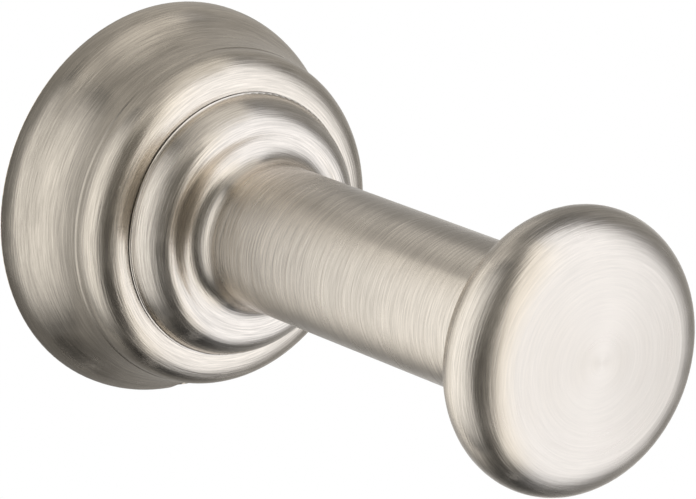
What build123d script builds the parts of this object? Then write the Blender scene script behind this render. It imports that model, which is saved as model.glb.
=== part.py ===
"""Wall hook: a turned post with collar and button head, on a stepped rosette over a hidden wall bracket."""

import os
from math import atan, cos, radians, sin, sqrt

from build123d import *

# Frame: the wall is the plane Y = 0, the hook points along -Y, +Z is up, millimetres.
# Profiles are drawn in the XY plane as (radius, distance from the wall) and turned about Y.

# Clearances
fit_gap = 0.05
seat_gap = 0.10
thread_gap = 0.04

# Rosette, outside
rim_radius = 27.0
rim_land = 0.4
rim_bead_round = 5.75
cone_length = 1.1
cove_depth = 11.8
ledge_width = 0.12
ledge_rise = 0.25
ring_radius = 23.0
ring_flank = 0.55
seat_depth = 17.0

# Rosette, inside
rim_wall = 4.4
mouth_depth = 6.0
cavity_radius = 19.4
cavity_start = 9.0
top_wall = 3.5

# Post, foot and collar
collar_radius = 18.1
collar_edge = 0.22
foot_fillet = 0.27
collar_flank_round = 6.3
collar_flank_start = 10.0
collar_flank_end = 51.0
root_height = 4.75
root_fillet = 2.8
spigot_radius = 8.0
register_depth = 1.2

# Post, bar and head
post_radius = 9.92
neck_fillet = 0.8
head_radius = 18.52
head_edge_round = 5.55
head_back = 80.6
head_front_sweep = 86.0

# Fixing screw, M6 socket cap
screw_radius = 3.0
screw_length = 20.0
screw_head_radius = 5.0
screw_head_height = 6.0
screw_socket_flats = 5.0
screw_socket_depth = 3.0
screw_clearance_radius = 3.3
screw_hole_spare = 2.5

# Wall bracket
bracket_thickness = 5.0
bracket_edge = 0.4
slot_spacing = 26.0
slot_width = 5.0
slot_length = 9.0

# Grub screw, M3 set screw
grub_radius = 1.5
grub_length = 3.0
grub_depth = 2.6
grub_flat = 0.5
grub_socket_flats = 1.5
grub_socket_depth = 1.2


def at(radius, depth):
    """Point of a turned profile: radius from the axis, depth out from the wall."""
    return (radius, -depth)


def turned(edges):
    """Solid of revolution about the hook's axis."""
    return revolve(make_face(Wire(edges)), axis=Axis.Y)


def chain(*points):
    """Straight profile edges through the points."""
    return list(Polyline(*points).edges())


def onward(edge):
    """Direction in which a profile edge leaves its end."""
    return edge % 1


def hexagon(flats):
    """Key socket outline."""
    return RegularPolygon(flats / sqrt(3), 6)


# Rosette: rim bead that runs by a short cone into a cove, fine ledge, quarter-round ring, hollow for the bracket
ledge_radius = ring_radius + ledge_width
bead_drop = rim_radius - ledge_radius
bead_run = cove_depth - rim_land
# The bead turns inward as far as lets the cove end along the axis, at the ledge
bead_turn = 2 * atan(bead_drop / (bead_run + cone_length))
bead_end_radius = rim_radius - rim_bead_round * (1 - cos(bead_turn))
bead_end_depth = rim_land + rim_bead_round * sin(bead_turn)
cone_end_radius = bead_end_radius - cone_length * sin(bead_turn)
cone_end_depth = bead_end_depth + cone_length * cos(bead_turn)
ring_start_depth = cove_depth + ledge_rise
ring_round_depth = ring_start_depth + ring_flank
ring_round = seat_depth - ring_round_depth
ring_end_radius = ring_radius - ring_round
mouth_radius = rim_radius - rim_wall
cavity_top = seat_depth - top_wall
register_radius = spigot_radius + fit_gap
register_floor = seat_depth - register_depth

rim_bead = TangentArc(
    at(rim_radius, rim_land),
    at(bead_end_radius, bead_end_depth),
    tangent=(0, -1),
)
cone = Line(rim_bead @ 1, at(cone_end_radius, cone_end_depth))
cove = TangentArc(
    cone @ 1,
    at(ledge_radius, cove_depth),
    tangent=onward(cone),
)
ring_top = TangentArc(
    at(ring_radius, ring_round_depth),
    at(ring_end_radius, seat_depth),
    tangent=(0, -1),
)
rosette_profile = [rim_bead, cone, cove, ring_top]
rosette_profile += chain(
    at(ledge_radius, cove_depth),
    at(ring_radius, ring_start_depth),
    at(ring_radius, ring_round_depth),
)
rosette_profile += chain(
    at(ring_end_radius, seat_depth),
    at(register_radius, seat_depth),
    at(register_radius, register_floor),
    at(screw_clearance_radius, register_floor),
    at(screw_clearance_radius, cavity_top),
    at(cavity_radius, cavity_top),
    at(cavity_radius, cavity_start),
    at(mouth_radius, mouth_depth),
    at(mouth_radius, 0),
    at(rim_radius, 0),
    at(rim_radius, rim_land),
)
rosette = turned(rosette_profile)

# Grub screw hole: straight up into the underside of the rosette
bracket_radius = mouth_radius - seat_gap
flat_height = bracket_radius - grub_flat
grub_hole = Plane((0, -grub_depth, -rim_radius), z_dir=(0, 0, 1))
rosette -= grub_hole * extrude(Circle(grub_radius + thread_gap), rim_radius - cavity_radius)

# Collar profile: small foot fillet, rounded flank, rolled top, and a root fillet that sweeps up into the post
root_depth = seat_depth + root_height
flank_turn = radians(collar_flank_start)
flank_end_turn = radians(collar_flank_end)
foot_centre = Vector(*at(collar_radius, seat_depth + collar_edge + foot_fillet))
flank_start = foot_centre - foot_fillet * Vector(cos(flank_turn), -sin(flank_turn))
flank_centre = flank_start - collar_flank_round * Vector(cos(flank_turn), -sin(flank_turn))
flank_facing = Vector(cos(flank_end_turn), -sin(flank_end_turn))
flank_end = flank_centre + collar_flank_round * flank_facing
root_centre = Vector(*at(post_radius + root_fillet, root_depth + root_fillet))
# The roll touches the flank at its end and the root fillet from outside, which sets its radius
reach = flank_end - root_centre
roll_round = (reach.dot(reach) - root_fillet**2) / (2 * (reach.dot(flank_facing) + root_fillet))
roll_centre = flank_end - roll_round * flank_facing
roll_end = root_centre + root_fillet * (roll_centre - root_centre).normalized()

collar_foot = TangentArc(
    at(collar_radius, seat_depth + collar_edge),
    flank_start,
    tangent=(-1, 0),
)
collar_flank = TangentArc(
    flank_start,
    flank_end,
    tangent=onward(collar_foot),
)
collar_roll = TangentArc(
    flank_end,
    roll_end,
    tangent=onward(collar_flank),
)
root = TangentArc(
    roll_end,
    at(post_radius, root_depth + root_fillet),
    tangent=onward(collar_roll),
)

# Head profile: flat back with a small neck fillet, fat rounded edge, nearly flat domed front
edge_centre = head_radius - head_edge_round
front_turn = radians(head_front_sweep)
front_edge_radius = edge_centre + head_edge_round * cos(front_turn)
front_edge_depth = head_back + head_edge_round * (1 + sin(front_turn))
front_slope = radians(90 - head_front_sweep)
dome_rise = front_edge_radius * (1 - cos(front_slope)) / sin(front_slope)
head_front = front_edge_depth + dome_rise

neck = TangentArc(
    at(post_radius, head_back - neck_fillet),
    at(post_radius + neck_fillet, head_back),
    tangent=(0, -1),
)
head_edge = TangentArc(
    at(edge_centre, head_back),
    at(front_edge_radius, front_edge_depth),
    tangent=(1, 0),
)
head_dome = TangentArc(
    head_edge @ 1,
    at(0, head_front),
    tangent=onward(head_edge),
)

# Post: collar, bar and head turned in one piece, with a centring spigot and a blind hole for the screw
spigot_end = register_floor + seat_gap
tapped_radius = screw_radius + thread_gap
tapped_end = cavity_top + screw_length + screw_hole_spare

post_profile = [collar_foot, collar_flank, collar_roll, root, neck, head_edge, head_dome]
post_profile += chain(root @ 1, neck @ 0)
post_profile += chain(neck @ 1, head_edge @ 0)
post_profile += chain(
    at(0, head_front),
    at(0, tapped_end + tapped_radius / 2),
    at(tapped_radius, tapped_end),
    at(tapped_radius, spigot_end),
    at(spigot_radius, spigot_end),
    at(spigot_radius, seat_depth),
    at(collar_radius - collar_edge, seat_depth),
    at(collar_radius, seat_depth + collar_edge),
)
post = turned(post_profile)

# Fixing screw: its head bears on the rosette's inner top, its shank reaches into the post
screw_head_end = cavity_top - screw_head_height
screw_tip = cavity_top + screw_length
fixing_screw = turned(
    chain(
        at(0, screw_head_end),
        at(screw_head_radius, screw_head_end),
        at(screw_head_radius, cavity_top),
        at(screw_radius, cavity_top),
        at(screw_radius, screw_tip),
        at(0, screw_tip),
        at(0, screw_head_end),
    )
)
screw_socket = Plane((0, -screw_head_end, 0), z_dir=(0, -1, 0))
fixing_screw -= screw_socket * extrude(hexagon(screw_socket_flats), screw_socket_depth)

# Wall bracket: round plate with two slots in line and a flat for the grub screw
bracket_face = Plane((0, 0, 0), x_dir=(1, 0, 0), z_dir=(0, -1, 0))
plate = Circle(bracket_radius)
for side in (-1, 1):
    plate -= Pos(side * slot_spacing / 2, 0) * SlotOverall(slot_length, slot_width)
wall_bracket = bracket_face * extrude(plate, bracket_thickness)
rim_edges = wall_bracket.edges().filter_by(GeomType.CIRCLE).sort_by(SortBy.RADIUS)[-2:]
wall_bracket = chamfer(rim_edges.sort_by(Axis.Y)[0], bracket_edge)
flat_cut = Box(
    2 * grub_radius + 2,
    2 * bracket_thickness,
    grub_flat,
    align=(Align.CENTER, Align.CENTER, Align.MAX),
)
wall_bracket -= Pos(0, -bracket_thickness, -flat_height) * flat_cut

# Grub screw: set screw with a key socket, seated on the bracket's flat
grub_plane = Plane((0, -grub_depth, -flat_height), z_dir=(0, 0, -1))
grub_body = extrude(Circle(grub_radius), grub_length)
grub_key = Pos(0, 0, grub_length - grub_socket_depth) * extrude(hexagon(grub_socket_flats), grub_socket_depth)
grub_screw = grub_plane * (grub_body - grub_key)

pieces = {
    "rosette": rosette,
    "post": post,
    "fixing_screw": fixing_screw,
    "wall_bracket": wall_bracket,
    "grub_screw": grub_screw,
}
os.makedirs("parts", exist_ok=True)
for name, piece in pieces.items():
    piece.label = name
    export_step(piece, f"parts/{name}.step")
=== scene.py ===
"""Towel hook in brushed nickel: finishes for the turned pieces and the hidden fixing, and a white studio."""

from math import cos, degrees, pi, radians, sin

import bpy
from mathutils import Matrix, Vector


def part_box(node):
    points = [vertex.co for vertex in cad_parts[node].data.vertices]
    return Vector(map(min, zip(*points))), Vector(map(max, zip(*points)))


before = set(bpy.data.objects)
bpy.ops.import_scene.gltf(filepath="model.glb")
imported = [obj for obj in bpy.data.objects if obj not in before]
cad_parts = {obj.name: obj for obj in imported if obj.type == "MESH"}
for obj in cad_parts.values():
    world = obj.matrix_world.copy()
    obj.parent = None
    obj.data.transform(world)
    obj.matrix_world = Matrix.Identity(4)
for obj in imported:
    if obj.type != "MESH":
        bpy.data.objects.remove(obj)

bl_info = {
    "name": "Towel Hook",
    "version": (1, 0, 0),
    "blender": (4, 5, 0),
    "location": "View3D > Sidebar > Towel Hook",
    "description": "Finishes a turned towel hook and sets it in a white studio",
    "category": "Object",
}

IMAGE_WIDTH = 696
SENSOR_WIDTH = 36.0

# Brushing: lines to the metre, a line's length in widths, and the bands' density and relief beside the lines'
LINE_DENSITY = 5000.0
LINE_STRETCH = 22.0
BAND_DENSITY = 0.22
BAND_RELIEF = 1.5
RELIEF_STRENGTH = 0.6
SMUDGE_SCALE = 170.0

# Range where most of a noise lies, and how far each noise swings the colour and the roughness
NOISE = (0.3, 0.7)
FINE_SWING = 0.16
BAND_SWING = 0.05
SMUDGE_SWING = 0.03
ROUGHNESS_SWING = 0.03

# Painted shade in the joint and on the ledge, and the calm front: the shares that are left of the colour or
# the brushing, and metres along Y
JOINT_SHADE_SHARE = 0.12
JOINT_SHADE_SOFT = 0.00003
LEDGE = (-0.01205, -0.0118)
LEDGE_SHADE_SHARE = 0.75
LEDGE_SHADE_SOFT = 0.00005
CALM_SHARE = 0.1
CALM_DEPTH = 0.003

# Plain steel: roughness and grain of the bracket and the screws, and how far the grain swings
ZINC_ROUGHNESS = 0.42
ZINC_GRAIN = 260.0
SCREW_ROUGHNESS = 0.30
SCREW_GRAIN = 900.0
GRAIN_SHADE = (0.92, 1.06)
GRAIN_ROUGHNESS_SWING = 0.05

# Tints of the light
WHITE = (1, 1, 1, 1)
NEUTRAL = (1.0, 0.99, 0.97, 1)
WARM = (1.0, 0.96, 0.88, 1)
COOL = (0.953, 1.0, 1.11, 1)
CARD_WHITE = (0.985, 1.0, 1.022, 1)
FLOOR_PALE = (0.72, 0.72, 0.72, 1)

# World: light levels, and angles in degrees
# Azimuth 0 is straight out from the wall, and positive to the right
FRONT_CENTRE = 7.0
FRONT_EDGE = (32.0, 76.0)
FRONT_SPREAD_RISE = (0.0, 80.0)
FRONT_SPREAD = 12.0
FRONT_BOTTOM = (-80.0, -48.0)
FRONT_TOP = (50.0, 95.0)
FRONT_TOP_SHARE = 0.60
COOL_EDGE = (-10.0, 32.0)
COOL_LIFT = 1.06
LEFT_BACK_EDGE = (-182.0, -150.0)
LEFT_BACK_SHARE = 0.3
LEFT_FRONT_EDGE = (-102.0, -90.0)
LEFT_HALF_HEIGHT = 50.0
LEFT_SOFT = 27.0
LEFT_LIFT_EDGE = (-135.0, -110.0)
LEFT_LIFT = 1.15
RIGHT_EDGE = (60.0, 110.0)
RIGHT_LEVEL = 0.20
RIGHT_HEIGHT = (-52.0, 45.0)
RIGHT_SOFT = 15.0
LOW_EDGE = (-80.0, -45.0)
LOW_LEVELS = (0.015, 0.12)
HIGH_EDGE = (62.0, 82.0)
HIGH_LEVEL = 0.14
BACKDROP_HALF_WIDTH = 24.0
BACKDROP_HALF_HEIGHT = 20.0
BACKDROP_SOFT = 12.0

# Floor and wall board, in metres and light levels
FLOOR_HALF = 0.2
FLOOR_GLOW = 0.9
BOARD_REACH = 0.024
BOARD_REACHES = 7.0
BOARD_GAP = 0.00005
BOARD_STEPS = 96
BOARD_FADE = (-0.030, 0.0)
BOARD_LEVELS = (0.13, 0.48)
BOARD_LOW_SHARE = 0.60

# Tent round the hook, in metres and light levels
TENT_LEFT = -0.24
TENT_FRONT = -0.115
TENT_BACK = 0.3
TENT_HALF_HEIGHT = 0.6
CARD_EDGE = (TENT_FRONT - 0.03, TENT_FRONT + 0.02)
CARD_HALF_HEIGHT = 0.29
CARD_SOFT = 0.22
CARD_DEPTH = (-0.08, 0.04)
CARD_SHARES = (0.50, 0.76)
CARD_LEVEL = 0.20
PANEL_EDGE = -0.027
PANEL_SOFT = 0.010
PANEL_RISE = (-0.10, 0.10)
PANEL_LEVELS = (0.04, 0.16)
PANEL_TOP = (0.12, 0.24)
TOP_HEIGHT = 0.06
TOP_FRONT = -0.064
TOP_HALF_WIDTH = 0.035
TOP_SIDE = (-0.03, 0.005)
TOP_LEVELS = (0.40, 0.78)
TOP_EDGE = (-0.055, -0.033)
TOP_SHOWN = 0.026
TOP_SOFT = 0.009


def metal_colour(name, description, colour):
    """Setting for the base colour of a metal."""
    return bpy.props.FloatVectorProperty(
        name=name,
        description=description,
        subtype="COLOR",
        size=3,
        min=0.0,
        max=1.0,
        default=colour,
    )


class HookFinish(bpy.types.PropertyGroup):
    """Settings of the finishes."""

    nickel: metal_colour("Nickel", "Base colour of the post's plating", (0.665, 0.603, 0.521))
    rosette_nickel: metal_colour(
        "Rosette nickel",
        "Base colour of the rosette's plating, a little warmer than the post's",
        (0.668, 0.598, 0.502),
    )
    zinc: metal_colour("Zinc", "Base colour of the wall bracket's plating", (0.55, 0.55, 0.54))
    steel: metal_colour("Steel", "Base colour of the screws", (0.46, 0.46, 0.47))
    roughness: bpy.props.FloatProperty(
        name="Roughness",
        description="Mean roughness of the brushed surface",
        subtype="FACTOR",
        min=0.0,
        max=1.0,
        default=0.235,
    )
    anisotropy: bpy.props.FloatProperty(
        name="Anisotropy",
        description="How far the brushing spreads a highlight across its lines",
        subtype="FACTOR",
        min=0.0,
        max=1.0,
        default=0.9,
    )
    line_density: bpy.props.FloatProperty(
        name="Line density",
        description="Brushing lines for each metre across the lines",
        min=100.0,
        default=LINE_DENSITY,
    )
    line_stretch: bpy.props.FloatProperty(
        name="Line stretch",
        description="Length of a brushing line as a count of its widths",
        min=1.0,
        default=LINE_STRETCH,
    )
    line_depth: bpy.props.FloatProperty(
        name="Line depth",
        description="Height of the brushing lines in the bump",
        subtype="DISTANCE",
        unit="LENGTH",
        min=0.0,
        default=0.00005,
    )
    # Height of the painted shade band in the joint between the rosette and the collar
    joint_shade_height: bpy.props.FloatProperty(
        name="Joint height",
        description="Height of the dark joint between the rosette and the collar",
        subtype="DISTANCE",
        unit="LENGTH",
        min=0.0,
        default=0.0002,
    )


class HookStage(bpy.types.PropertyGroup):
    """Settings of the camera and the studio."""

    azimuth: bpy.props.FloatProperty(
        name="Azimuth",
        description="Camera angle round the vertical",
        subtype="ANGLE",
        unit="ROTATION",
        default=radians(-37.274),
    )
    elevation: bpy.props.FloatProperty(
        name="Elevation",
        description="Camera angle above the horizon",
        subtype="ANGLE",
        unit="ROTATION",
        default=radians(16.839),
    )
    distance: bpy.props.FloatProperty(
        name="Distance",
        description="From the camera to the point it looks at",
        subtype="DISTANCE",
        unit="LENGTH",
        default=0.65122,
    )
    aim: bpy.props.FloatVectorProperty(
        name="Aim",
        description="Point that the camera looks at",
        subtype="XYZ",
        unit="LENGTH",
        size=3,
        default=(0.00083, -0.03985, 0.00182),
    )
    focal_pixels: bpy.props.FloatProperty(
        name="Focal length in pixels",
        description="Focal length as a count of image pixels",
        default=5000.0,
    )
    floor_drop: bpy.props.FloatProperty(
        name="Floor drop",
        description="How far the floor lies below the hook's axis",
        subtype="DISTANCE",
        unit="LENGTH",
        default=4.0,
    )
    front_glow: bpy.props.FloatProperty(
        name="Front glow",
        description="Light level of the broad light in front of the hook",
        min=0.0,
        default=1.25,
    )
    left_glow: bpy.props.FloatProperty(
        name="Left glow",
        description="Light level of the light on the left",
        min=0.0,
        default=1.60,
    )


class NodeSheet:
    """Small helper that adds and links nodes in one node tree."""

    def __init__(self, tree):
        self.tree = tree

    def add(self, kind, inputs=None, **settings):
        node = self.tree.nodes.new(kind)
        for key, value in settings.items():
            setattr(node, key, value)
        for key, value in (inputs or {}).items():
            self.feed(node.inputs[key], value)
        return node

    def feed(self, socket, value):
        if isinstance(value, bpy.types.NodeSocket):
            self.tree.links.new(value, socket)
        else:
            socket.default_value = value

    def math(self, operation, *values, clamp=False):
        node = self.add("ShaderNodeMath", operation=operation, use_clamp=clamp)
        for socket, value in zip(node.inputs, values):
            self.feed(socket, value)
        return node.outputs[0]

    def span(self, value, low, high, to_low, to_high, smooth=False):
        """Carries a value from one range to another, with a soft start and end if smooth."""
        node = self.add(
            "ShaderNodeMapRange",
            {"Value": value, "From Min": low, "From Max": high, "To Min": to_low, "To Max": to_high},
            interpolation_type="SMOOTHSTEP" if smooth else "LINEAR",
        )
        return node.outputs["Result"]

    def soft_range(self, value, low, high, edge):
        """1 between two limits and 0 outside them, with soft edges of the given half width."""
        rising = self.span(value, low - edge, low + edge, 0.0, 1.0, smooth=True)
        falling = self.span(value, high - edge, high + edge, 1.0, 0.0, smooth=True)
        return self.math("MULTIPLY", rising, falling)

    def swing(self, noise, reach):
        """Carries a noise to a swing of the given reach about 0."""
        return self.span(noise, *NOISE, -reach, reach)

    def place(self):
        """Object coordinates."""
        return self.add("ShaderNodeTexCoord").outputs["Object"]

    def axes(self):
        """Object coordinates, axis by axis."""
        return self.add("ShaderNodeSeparateXYZ", {"Vector": self.place()}).outputs

    def tinted(self, colour, shade):
        """A colour times a shade."""
        return self.add("ShaderNodeVectorMath", {0: colour, "Scale": shade}, operation="SCALE").outputs[0]

    def surface(self, shader):
        """Ends a material in a shader."""
        self.add("ShaderNodeOutputMaterial", {"Surface": shader.outputs[0]})

    def glow(self, colour, level, share):
        """Surface that gives light of a colour and level, and is see-through where its share is 0."""
        light = self.add("ShaderNodeEmission", {"Color": colour, "Strength": level})
        through = self.add("ShaderNodeBsdfTransparent", {"Color": WHITE})
        self.surface(self.add("ShaderNodeMixShader", {0: share, 1: through.outputs[0], 2: light.outputs[0]}))


def emptied(owner):
    """Sheet for the emptied nodes of a material or a world."""
    owner.use_nodes = True
    owner.node_tree.nodes.clear()
    return NodeSheet(owner.node_tree)


def turned_brushing():
    """Node group: brushing lines that run round the Y axis, as fine lines, broader bands and soft smudges."""
    name = "Turned Brushing"
    if name in bpy.data.node_groups:
        return bpy.data.node_groups[name]
    group = bpy.data.node_groups.new(name, "ShaderNodeTree")
    for socket, value in (("Density", LINE_DENSITY), ("Stretch", LINE_STRETCH)):
        given = group.interface.new_socket(socket, in_out="INPUT", socket_type="NodeSocketFloat")
        given.default_value = value
    for socket in ("Fine", "Bands", "Smudges"):
        group.interface.new_socket(socket, in_out="OUTPUT", socket_type="NodeSocketFloat")
    sheet = NodeSheet(group)
    sizes = sheet.add("NodeGroupInput").outputs
    axes = sheet.axes()
    squares = [sheet.math("POWER", axes[axis], 2.0) for axis in "XZ"]
    radius = sheet.math("SQRT", sheet.math("ADD", *squares))

    def lines(share):
        across = sheet.math("MULTIPLY", sizes["Density"], share)
        along = sheet.math("DIVIDE", across, sizes["Stretch"])
        spot = sheet.add(
            "ShaderNodeCombineXYZ",
            {
                "X": sheet.math("MULTIPLY", radius, across),
                "Y": sheet.math("MULTIPLY", axes["Y"], across),
                "Z": sheet.math("MULTIPLY", axes["X"], along),
            },
        )
        turn = sheet.math("MULTIPLY", axes["Z"], along)
        noise = sheet.add(
            "ShaderNodeTexNoise",
            {"Vector": spot.outputs[0], "W": turn, "Scale": 1.0, "Detail": 2.0, "Roughness": 0.6},
            noise_dimensions="4D",
        )
        return noise.outputs["Fac"]

    smudges = sheet.add(
        "ShaderNodeTexNoise",
        {"Vector": sheet.place(), "Scale": SMUDGE_SCALE, "Detail": 2.0, "Roughness": 0.5},
    )
    done = sheet.add("NodeGroupOutput").inputs
    sheet.feed(done["Fine"], lines(1.0))
    sheet.feed(done["Bands"], lines(BAND_DENSITY))
    sheet.feed(done["Smudges"], smudges.outputs["Fac"])
    return group


def brushed_nickel(name, settings, nickel, joint=None, front=None, ledge=None):
    """Satin nickel, brushed round the turning axis.

    It has painted shade in a joint behind the Y of joint, is calm near the Y of front, and has painted shade
    that dims the highlight on a ledge between two Y.
    """
    material = bpy.data.materials.new(name)
    sheet = emptied(material)
    brushing = sheet.add("ShaderNodeGroup", node_tree=turned_brushing())
    brushing.inputs["Density"].default_value = settings.line_density
    brushing.inputs["Stretch"].default_value = settings.line_stretch
    fine, bands, smudges = (brushing.outputs[kind] for kind in ("Fine", "Bands", "Smudges"))
    depth = sheet.axes()["Y"]
    swing = sheet.math("ADD", sheet.swing(fine, FINE_SWING), sheet.swing(bands, BAND_SWING))
    relief = sheet.math("MULTIPLY_ADD", bands, BAND_RELIEF, fine)
    if front is not None:
        calm = sheet.span(depth, front, front + CALM_DEPTH, CALM_SHARE, 1.0)
        swing = sheet.math("MULTIPLY", swing, calm)
        relief = sheet.math("MULTIPLY", relief, calm)
    shade = sheet.math("ADD", swing, sheet.span(smudges, *NOISE, 1.0 - SMUDGE_SWING, 1.0 + SMUDGE_SWING))
    # Painted shade: the colour darkens in the joint between the rosette and the collar, where the gap's
    # shadow falls
    if joint is not None:
        painted_joint_shade = sheet.span(depth, joint - JOINT_SHADE_SOFT, joint + JOINT_SHADE_SOFT, 1.0, JOINT_SHADE_SHARE)
        shade = sheet.math("MULTIPLY", shade, painted_joint_shade)
    # Painted shade: the colour is dimmed on the ledge to tone down its highlight
    if ledge is not None:
        painted_ledge_shade = sheet.soft_range(depth, *ledge, LEDGE_SHADE_SOFT)
        shade = sheet.math("MULTIPLY", shade, sheet.span(painted_ledge_shade, 0.0, 1.0, 1.0, LEDGE_SHADE_SHARE))
    rough = sheet.math(
        "ADD",
        sheet.span(bands, *NOISE, settings.roughness - ROUGHNESS_SWING, settings.roughness + ROUGHNESS_SWING),
        sheet.swing(smudges, ROUGHNESS_SWING),
    )
    bump = sheet.add(
        "ShaderNodeBump",
        {"Height": relief, "Strength": RELIEF_STRENGTH, "Distance": settings.line_depth},
    )
    tangent = sheet.add("ShaderNodeTangent", direction_type="RADIAL", axis="Y")
    metal = sheet.add(
        "ShaderNodeBsdfPrincipled",
        {
            "Base Color": sheet.tinted(tuple(nickel), shade),
            "Metallic": 1.0,
            "Roughness": rough,
            "Anisotropic": settings.anisotropy,
            "Anisotropic Rotation": 0.25,
            "Normal": bump.outputs[0],
            "Tangent": tangent.outputs[0],
        },
    )
    sheet.surface(metal)
    return material


def plain_steel(name, colour, roughness, grain):
    """Plated or stainless steel with a light cloudy grain."""
    material = bpy.data.materials.new(name)
    sheet = emptied(material)
    noise = sheet.add("ShaderNodeTexNoise", {"Vector": sheet.place(), "Scale": grain, "Detail": 3.0})
    cloud = noise.outputs["Fac"]
    low, high = roughness - GRAIN_ROUGHNESS_SWING, roughness + GRAIN_ROUGHNESS_SWING
    metal = sheet.add(
        "ShaderNodeBsdfPrincipled",
        {
            "Base Color": sheet.tinted(tuple(colour), sheet.span(cloud, *NOISE, *GRAIN_SHADE)),
            "Metallic": 1.0,
            "Roughness": sheet.span(cloud, *NOISE, low, high),
        },
    )
    sheet.surface(metal)
    return material


def give(node, material):
    """Puts a finish on a CAD node's only slot."""
    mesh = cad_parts[node].data
    if len(mesh.materials) != 1:
        raise RuntimeError(f"{node} has {len(mesh.materials)} material slots, not one")
    mesh.materials[0] = material


class HOOK_OT_turned_pieces(bpy.types.Operator):
    """Finish the rosette and the post in brushed nickel"""

    bl_idname = "hook.turned_pieces"
    bl_label = "Finish turned pieces"

    def execute(self, context):
        settings = context.scene.hook_finish
        give("rosette", brushed_nickel("rosette_nickel", settings, settings.rosette_nickel, ledge=LEDGE))
        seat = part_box("rosette")[0][1]
        # The painted shade in the joint begins this far behind the rosette's seat
        joint = seat - settings.joint_shade_height
        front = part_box("post")[0][1]
        give("post", brushed_nickel("post_nickel", settings, settings.nickel, joint, front))
        return {"FINISHED"}


class HOOK_OT_fixing(bpy.types.Operator):
    """Finish the wall bracket and the screws in plain steel"""

    bl_idname = "hook.fixing"
    bl_label = "Finish fixing"

    def execute(self, context):
        settings = context.scene.hook_finish
        give("wall_bracket", plain_steel("bracket_zinc", settings.zinc, ZINC_ROUGHNESS, ZINC_GRAIN))
        screw = plain_steel("screw_steel", settings.steel, SCREW_ROUGHNESS, SCREW_GRAIN)
        give("fixing_screw", screw)
        give("grub_screw", screw)
        return {"FINISHED"}


def front_light(sheet, azimuth, elevation):
    """Share of the broad front light: wider towards the top, faded at the bottom and a little at the top."""
    off_centre = sheet.math("ABSOLUTE", sheet.math("SUBTRACT", azimuth, FRONT_CENTRE))
    spread = sheet.span(elevation, *FRONT_SPREAD_RISE, 0.0, FRONT_SPREAD)
    across = sheet.span(sheet.math("SUBTRACT", off_centre, spread), *FRONT_EDGE, 1.0, 0.0, smooth=True)
    upright = sheet.math(
        "MULTIPLY",
        sheet.span(elevation, *FRONT_BOTTOM, 0.0, 1.0, smooth=True),
        sheet.span(elevation, *FRONT_TOP, 1.0, FRONT_TOP_SHARE),
    )
    return sheet.math("MULTIPLY", across, upright)


def left_light(sheet, azimuth, elevation, glow):
    """Level of the pale left side: a little brighter towards the wall, and faded straight behind the hook."""
    across = sheet.math(
        "MULTIPLY",
        sheet.span(azimuth, *LEFT_BACK_EDGE, LEFT_BACK_SHARE, 1.0, smooth=True),
        sheet.span(azimuth, *LEFT_FRONT_EDGE, 1.0, 0.0, smooth=True),
    )
    upright = sheet.soft_range(elevation, -LEFT_HALF_HEIGHT, LEFT_HALF_HEIGHT, LEFT_SOFT)
    level = sheet.span(azimuth, *LEFT_LIFT_EDGE, glow * LEFT_LIFT, glow, smooth=True)
    return sheet.math("MULTIPLY", sheet.math("MULTIPLY", across, upright), level)


def dim_light(sheet, azimuth, elevation):
    """Level of the rest of the studio: darkest below, a little lighter above and on the right."""
    right = sheet.math(
        "MULTIPLY",
        sheet.span(azimuth, *RIGHT_EDGE, 0.0, RIGHT_LEVEL, smooth=True),
        sheet.soft_range(elevation, *RIGHT_HEIGHT, RIGHT_SOFT),
    )
    low = sheet.span(elevation, *LOW_EDGE, *LOW_LEVELS)
    high = sheet.span(elevation, *HIGH_EDGE, 0.0, HIGH_LEVEL)
    return sheet.math("ADD", sheet.math("ADD", low, right), high)


def backdrop_share(sheet, azimuth, elevation, settings):
    """1 where the backdrop stands, behind the hook as the camera sees it."""
    behind = 180.0 + degrees(settings.azimuth)
    below = -degrees(settings.elevation)
    wide, high = BACKDROP_HALF_WIDTH, BACKDROP_HALF_HEIGHT
    return sheet.math(
        "MULTIPLY",
        sheet.soft_range(azimuth, behind - wide, behind + wide, BACKDROP_SOFT),
        sheet.soft_range(elevation, below - high, below + high, BACKDROP_SOFT),
    )


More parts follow.
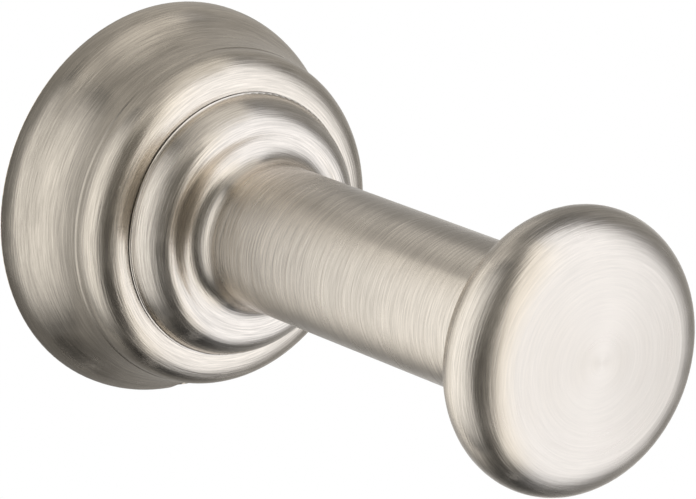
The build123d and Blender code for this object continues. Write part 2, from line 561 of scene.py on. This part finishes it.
def studio_world(scene, settings):
    """Dim studio with a broad front light and a pale left side, in front of a white backdrop."""
    world = bpy.data.worlds.new("Studio")
    sheet = emptied(world)
    ray = sheet.add("ShaderNodeTexCoord").outputs["Generated"]
    axes = sheet.add("ShaderNodeSeparateXYZ", {"Vector": ray}).outputs
    outward = sheet.math("MULTIPLY", axes["Y"], -1.0)
    azimuth = sheet.math("DEGREES", sheet.math("ARCTAN2", axes["X"], outward))
    elevation = sheet.math("DEGREES", sheet.math("ARCSINE", axes["Z"]))

    cool = sheet.span(azimuth, *COOL_EDGE, 0.0, 1.0, smooth=True)
    tint = sheet.add("ShaderNodeMix", {"Factor": cool}, data_type="RGBA")
    tint.inputs["A"].default_value = NEUTRAL
    tint.inputs["B"].default_value = COOL
    front_level = sheet.math(
        "MULTIPLY",
        front_light(sheet, azimuth, elevation),
        sheet.span(cool, 0.0, 1.0, settings.front_glow, settings.front_glow * COOL_LIFT),
    )
    rest_level = sheet.math(
        "ADD",
        dim_light(sheet, azimuth, elevation),
        left_light(sheet, azimuth, elevation, settings.left_glow),
    )
    front = sheet.add("ShaderNodeBackground", {"Color": tint.outputs["Result"], "Strength": front_level})
    rest = sheet.add("ShaderNodeBackground", {"Color": NEUTRAL, "Strength": rest_level})
    studio = sheet.add("ShaderNodeAddShader", {0: front.outputs[0], 1: rest.outputs[0]})
    white = sheet.add("ShaderNodeBackground", {"Color": WHITE, "Strength": 1.0})

    # The camera sees white everywhere, and mirrored or refracted rays see it where the backdrop stands.
    path = sheet.add("ShaderNodeLightPath").outputs
    bounced = sheet.math("MAXIMUM", path["Is Glossy Ray"], path["Is Transmission Ray"])
    mirrored = sheet.math("MULTIPLY", bounced, backdrop_share(sheet, azimuth, elevation, settings))
    shown = sheet.math("MAXIMUM", path["Is Camera Ray"], mirrored)
    mix = sheet.add("ShaderNodeMixShader", {0: shown, 1: studio.outputs[0], 2: white.outputs[0]})
    sheet.add("ShaderNodeOutputWorld", {"Surface": mix.outputs[0]})
    scene.world = world


def floor_material():
    """Pale matt floor, lifted towards white for the camera."""
    material = bpy.data.materials.new("floor_pale")
    sheet = emptied(material)
    matt = sheet.add("ShaderNodeBsdfDiffuse", {"Color": FLOOR_PALE})
    path = sheet.add("ShaderNodeLightPath").outputs
    level = sheet.math("MULTIPLY", path["Is Camera Ray"], FLOOR_GLOW)
    lift = sheet.add("ShaderNodeEmission", {"Color": WHITE, "Strength": level})
    sheet.surface(sheet.add("ShaderNodeAddShader", {0: matt.outputs[0], 1: lift.outputs[0]}))
    return material


def board_material():
    """Wall behind the hook: painted shade of the rosette beside its rim, and open to the studio further out.
    """
    material = bpy.data.materials.new("wall_shade")
    sheet = emptied(material)
    axes = sheet.axes()
    flat = sheet.add("ShaderNodeCombineXYZ", {"X": axes["X"], "Z": axes["Z"]})
    radius = sheet.add("ShaderNodeVectorMath", {0: flat.outputs[0]}, operation="LENGTH").outputs["Value"]
    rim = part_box("rosette")[1][0]
    inward = sheet.math("DIVIDE", sheet.math("SUBTRACT", rim, radius), BOARD_REACH)
    level = sheet.math(
        "MULTIPLY",
        sheet.span(axes["X"], *BOARD_FADE, *BOARD_LEVELS, smooth=True),
        sheet.span(axes["Z"], *BOARD_FADE, BOARD_LOW_SHARE, 1.0, smooth=True),
    )
    sheet.glow(NEUTRAL, level, share=sheet.math("EXPONENT", inward, clamp=True))
    return material


def card_material(settings):
    """White card on the left: soft at its front edge, its top and its bottom."""
    material = bpy.data.materials.new("card_white")
    sheet = emptied(material)
    axes = sheet.axes()
    bright = sheet.math(
        "MULTIPLY",
        sheet.soft_range(axes["Z"], -CARD_HALF_HEIGHT, CARD_HALF_HEIGHT, CARD_SOFT),
        sheet.span(axes["Y"], *CARD_DEPTH, *CARD_SHARES, smooth=True),
    )
    level = sheet.math("MULTIPLY_ADD", bright, settings.left_glow, CARD_LEVEL)
    sheet.glow(CARD_WHITE, level, share=sheet.span(axes["Y"], *CARD_EDGE, 0.0, 1.0, smooth=True))
    return material


def panel_material():
    """Dark panel on the camera's side, soft at its right edge and its top."""
    material = bpy.data.materials.new("panel_dark")
    sheet = emptied(material)
    axes = sheet.axes()
    level = sheet.span(axes["Z"], *PANEL_RISE, *PANEL_LEVELS)
    there = sheet.math(
        "MULTIPLY",
        sheet.span(axes["X"], PANEL_EDGE - PANEL_SOFT, PANEL_EDGE + PANEL_SOFT, 1.0, 0.0, smooth=True),
        sheet.span(axes["Z"], *PANEL_TOP, 1.0, 0.0, smooth=True),
    )
    sheet.glow(WARM, level, share=there)
    return material


def top_material():
    """Dim top of the tent, darker on the left, soft at its front edge and its sides."""
    material = bpy.data.materials.new("top_dim")
    sheet = emptied(material)
    axes = sheet.axes()
    level = sheet.span(axes["X"], *TOP_SIDE, *TOP_LEVELS, smooth=True)
    there = sheet.math(
        "MULTIPLY",
        sheet.span(axes["Y"], *TOP_EDGE, 0.0, 1.0, smooth=True),
        sheet.soft_range(axes["X"], -TOP_SHOWN, TOP_SHOWN, TOP_SOFT),
    )
    sheet.glow(NEUTRAL, level, share=there)
    return material


def stage_mesh(scene, name, points, faces, material):
    """Adds a flat piece of the studio."""
    mesh = bpy.data.meshes.new(name)
    mesh.from_pydata(points, [], faces)
    mesh.materials.append(material)
    piece = bpy.data.objects.new(name, mesh)
    scene.collection.objects.link(piece)
    return piece


class HOOK_OT_stage(bpy.types.Operator):
    """Add the floor, the wall board, the tent, the studio light and the camera"""

    bl_idname = "hook.stage"
    bl_label = "Add stage"

    def execute(self, context):
        scene = context.scene
        settings = scene.hook_stage
        self.add_floor(scene, settings)
        self.add_board(scene)
        self.add_tent(scene, settings)
        studio_world(scene, settings)
        self.add_camera(scene, settings)
        scene.view_settings.view_transform = "Standard"
        return {"FINISHED"}

    def add_floor(self, scene, settings):
        half, low = FLOOR_HALF, -settings.floor_drop
        points = [(-half, -half, low), (half, -half, low), (half, half, low), (-half, half, low)]
        stage_mesh(scene, "floor", points, [(0, 1, 2, 3)], floor_material())

    def add_board(self, scene):
        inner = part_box("rosette")[1][0] + BOARD_GAP
        outer = inner + BOARD_REACHES * BOARD_REACH
        points = []
        faces = []
        for step in range(BOARD_STEPS):
            turn = 2 * pi * step / BOARD_STEPS
            for radius in (inner, outer):
                points.append((radius * cos(turn), 0.0, radius * sin(turn)))
            here = 2 * step
            after = 2 * ((step + 1) % BOARD_STEPS)
            faces.append((here, here + 1, after + 1, after))
        board = stage_mesh(scene, "wall_board", points, faces, board_material())
        board.visible_camera = False

    def add_tent(self, scene, settings):
        left, right, ahead = TENT_LEFT, PANEL_EDGE + PANEL_SOFT, TENT_FRONT
        front, back = CARD_EDGE[0], TENT_BACK
        low, high = -TENT_HALF_HEIGHT, TENT_HALF_HEIGHT
        wide, fore, top = TOP_HALF_WIDTH, TOP_FRONT, TOP_HEIGHT
        walls = (
            (
                "left_card",
                [(left, back, low), (left, front, low), (left, front, high), (left, back, high)],
                card_material(settings),
            ),
            (
                "dark_panel",
                [(left, ahead, low), (right, ahead, low), (right, ahead, high), (left, ahead, high)],
                panel_material(),
            ),
            (
                "top_card",
                [(-wide, fore, top), (wide, fore, top), (wide, 0.0, top), (-wide, 0.0, top)],
                top_material(),
            ),
        )
        for name, points, material in walls:
            wall = stage_mesh(scene, name, points, [(0, 1, 2, 3)], material)
            wall.visible_camera = False

    def add_camera(self, scene, settings):
        lens = bpy.data.cameras.new("camera")
        lens.sensor_fit = "HORIZONTAL"
        lens.sensor_width = SENSOR_WIDTH
        lens.lens = settings.focal_pixels / IMAGE_WIDTH * SENSOR_WIDTH
        lens.clip_start = 0.01
        rise, turn = settings.elevation, settings.azimuth
        ahead = Vector((-sin(turn) * cos(rise), cos(turn) * cos(rise), -sin(rise)))
        right = ahead.cross(Vector((0, 0, 1))).normalized()
        up = right.cross(ahead)
        place = Matrix((right, up, -ahead)).transposed().to_4x4()
        place.translation = Vector(settings.aim) - ahead * settings.distance
        camera = bpy.data.objects.new("camera", lens)
        camera.matrix_world = place
        scene.collection.objects.link(camera)
        scene.camera = camera


class HOOK_PT_panel(bpy.types.Panel):
    """Settings and steps of the towel hook"""

    bl_idname = "HOOK_PT_panel"
    bl_label = "Towel Hook"
    bl_space_type = "VIEW_3D"
    bl_region_type = "UI"
    bl_category = "Towel Hook"

    def draw(self, context):
        scene = context.scene
        for settings in (scene.hook_finish, scene.hook_stage):
            box = self.layout.box()
            for key in settings.__annotations__:
                box.prop(settings, key)
        for step in STEPS:
            self.layout.operator(step.bl_idname)


STEPS = (HOOK_OT_turned_pieces, HOOK_OT_fixing, HOOK_OT_stage)
CLASSES = (HookFinish, HookStage, *STEPS, HOOK_PT_panel)


def register():
    for kind in CLASSES:
        bpy.utils.register_class(kind)
    bpy.types.Scene.hook_finish = bpy.props.PointerProperty(type=HookFinish)
    bpy.types.Scene.hook_stage = bpy.props.PointerProperty(type=HookStage)


def unregister():
    del bpy.types.Scene.hook_stage
    del bpy.types.Scene.hook_finish
    for kind in reversed(CLASSES):
        bpy.utils.unregister_class(kind)


def main():
    register()
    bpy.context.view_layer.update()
    bpy.ops.hook.turned_pieces()
    bpy.ops.hook.fixing()
    bpy.ops.hook.stage()


if __name__ == "__main__":
    main()
